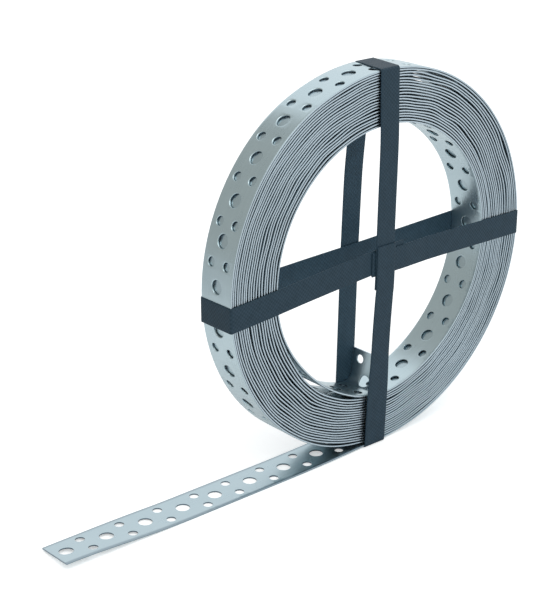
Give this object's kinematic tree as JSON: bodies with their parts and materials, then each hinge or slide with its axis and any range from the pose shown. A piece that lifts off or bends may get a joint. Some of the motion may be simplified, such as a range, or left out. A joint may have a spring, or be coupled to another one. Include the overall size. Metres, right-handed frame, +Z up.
{
  "type": "perforated steel strap coil",
  "caption": "Coil of galvanized perforated steel fixing strap, standing on edge with its free end laid out flat, held by two crossed plastic binding bands",
  "frame": {"origin": "on the floor, straight under the coil's axis and midway across the strap, on the flat underside of the vertical binding band", "axes": "+X to the right across the coil's face, so the free end lies towards -X; +Y along the coil's axis, away from the front; +Z up"},
  "size_m": [0.2661, 0.0236, 0.1802],
  "materials": {
    "galvanized_steel": "hot-dip galvanized, smooth and cool grey, with bare cut edges",
    "dark_polypropylene": "slate-black polypropylene strapping with an embossed diamond grid"
  },
  "bodies": {
    "root": {"perforated_strap": "galvanized_steel", "vertical_binding_band": "dark_polypropylene", "horizontal_binding_band": "dark_polypropylene"}
  },
  "joints": []
}
